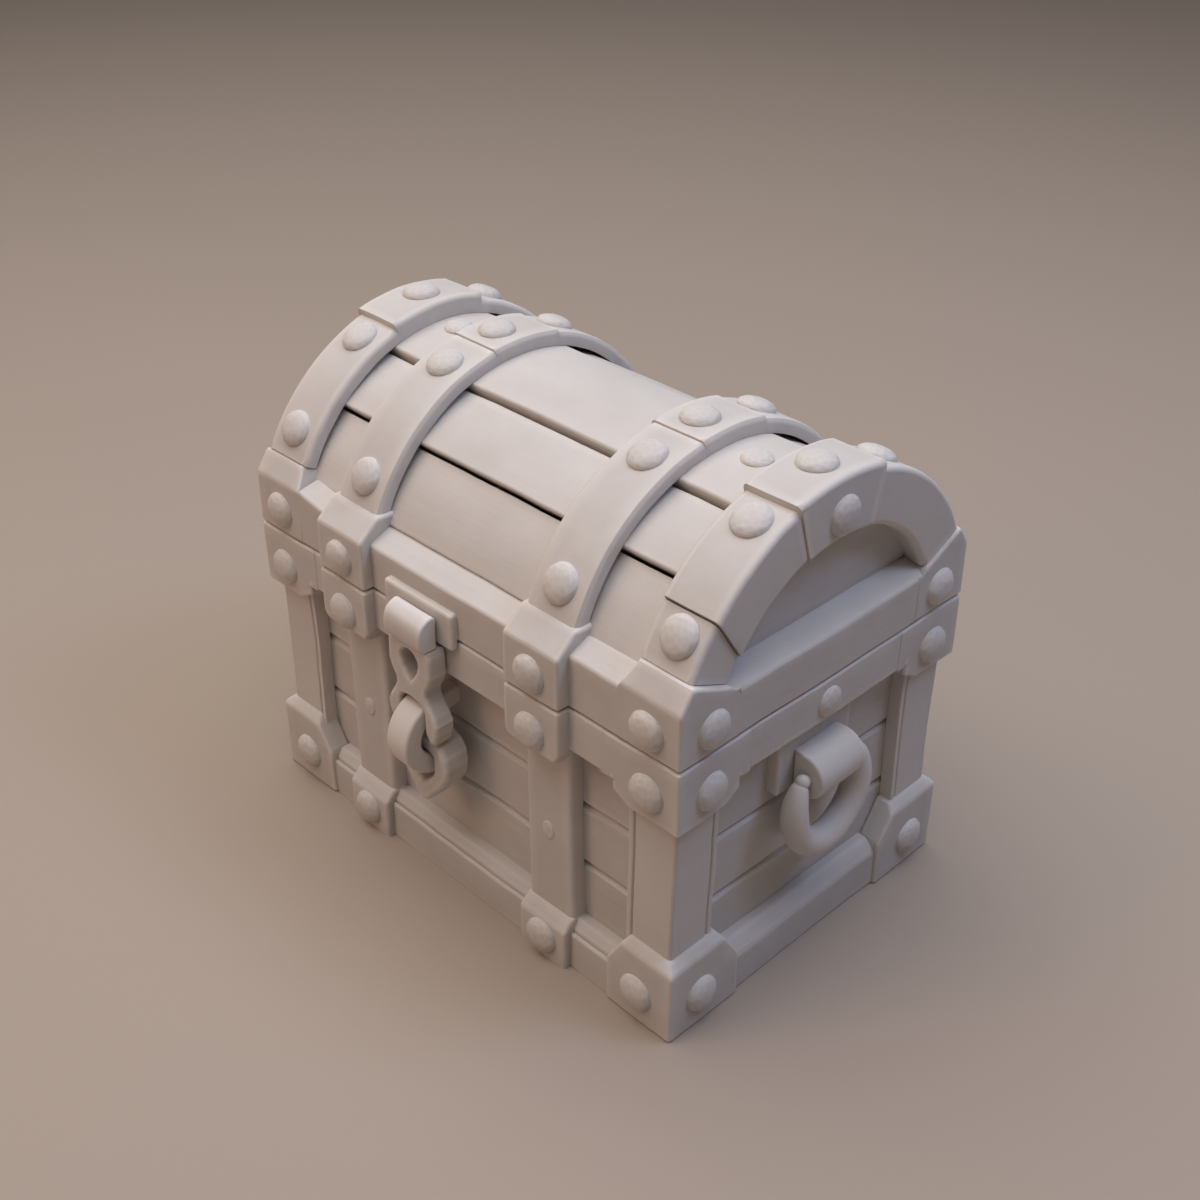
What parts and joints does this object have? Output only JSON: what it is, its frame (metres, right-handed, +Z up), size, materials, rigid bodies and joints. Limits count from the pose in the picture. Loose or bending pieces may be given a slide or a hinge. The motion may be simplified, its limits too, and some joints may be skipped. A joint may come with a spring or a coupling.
{
  "type": "treasure chest box",
  "caption": "Small treasure chest box with a hinged barrel lid, riveted bands and corner brackets, a front hasp over a staple with a lock ring, and a swinging ring handle at each end.",
  "frame": {"origin": "centre of the box's length and depth, on the flat underside it stands on", "axes": "+X along the length to the viewer's right when facing the front, -Y out of the front with the hasp, +Z up"},
  "size_m": [0.1728, 0.1274, 0.1427],
  "materials": {
    "planks": "matte bone-coloured cast resin with faint wood grain",
    "frame": "matte bone-coloured cast resin, softly worked",
    "ironwork": "matte bone-coloured cast resin, lightly hammered",
    "rivets": "matte bone-coloured cast resin, flattened facets",
    "fittings": "matte bone-coloured cast resin, smoothed"
  },
  "bodies": {
    "base": {"floor_board": "planks", "front_planks": "planks", "back_planks": "planks", "left_planks": "planks", "right_planks": "planks", "corner_post_front_right": "frame", "corner_post_front_left": "frame", "corner_post_back_right": "frame", "corner_post_back_left": "frame", "bottom_rail_front": "frame", "bottom_rail_back": "frame", "bottom_rail_right": "frame", "bottom_rail_left": "frame", "top_rail_front": "frame", "top_rail_back": "frame", "top_rail_right": "frame", "top_rail_left": "frame", "foot_brackets": "ironwork", "rim_brackets": "ironwork", "front_straps": "ironwork", "back_straps": "ironwork", "strap_feet": "ironwork", "strap_heads": "ironwork", "base_hinge_leaves": "ironwork", "hinge_pins": "ironwork", "body_rivets": "rivets", "strap_nails": "rivets", "staple": "fittings", "ring_plates": "fittings", "ring_barrels": "fittings"},
    "lid": {"lid_rail_front": "frame", "lid_rail_back": "frame", "lid_rail_right": "frame", "lid_rail_left": "frame", "lid_brackets": "ironwork", "lid_ridge_plank": "planks", "lid_upper_planks": "planks", "lid_lower_planks": "planks", "lid_end_panel_right": "planks", "lid_end_panel_left": "planks", "middle_band_front": "ironwork", "middle_band_ridge": "ironwork", "middle_band_back": "ironwork", "end_band_front": "ironwork", "end_band_ridge": "ironwork", "end_band_foot": "ironwork", "end_band_back": "ironwork", "lid_strap_heads": "ironwork", "lid_hinge_leaves": "ironwork", "hasp_plate": "fittings", "hasp_pin": "fittings", "lid_rivets": "rivets"},
    "hasp": {"hasp_barrel": "fittings", "hasp_fork": "fittings"},
    "lock_ring": {"lock_ring": "fittings"},
    "ring_right": {"ring_right": "fittings"},
    "ring_left": {"ring_left": "fittings"}
  },
  "joints": [
    {"name": "lid_hinge", "type": "hinge", "parent": "base", "child": "lid", "pos_m": [0, 0.0572, 0.08505], "axis": [-1, 0, 0], "range_deg": [0, 105]},
    {"name": "hasp_swing", "type": "hinge", "parent": "lid", "child": "hasp", "pos_m": [-0.0072, -0.0586, 0.0902], "axis": [-1, 0, 0], "range_deg": [0, 110]},
    {"name": "lock_ring_swing", "type": "hinge", "parent": "base", "child": "lock_ring", "pos_m": [-0.0072, -0.0552, 0.0497], "axis": [-1, 0, 0], "range_deg": [0, 30]},
    {"name": "ring_right_swing", "type": "hinge", "parent": "base", "child": "ring_right", "pos_m": [0.0815, 0, 0.0594], "axis": [0, -1, 0], "range_deg": [0, 120]},
    {"name": "ring_left_swing", "type": "hinge", "parent": "base", "child": "ring_left", "pos_m": [-0.0815, 0, 0.0594], "axis": [0, 1, 0], "range_deg": [0, 120]}
  ]
}
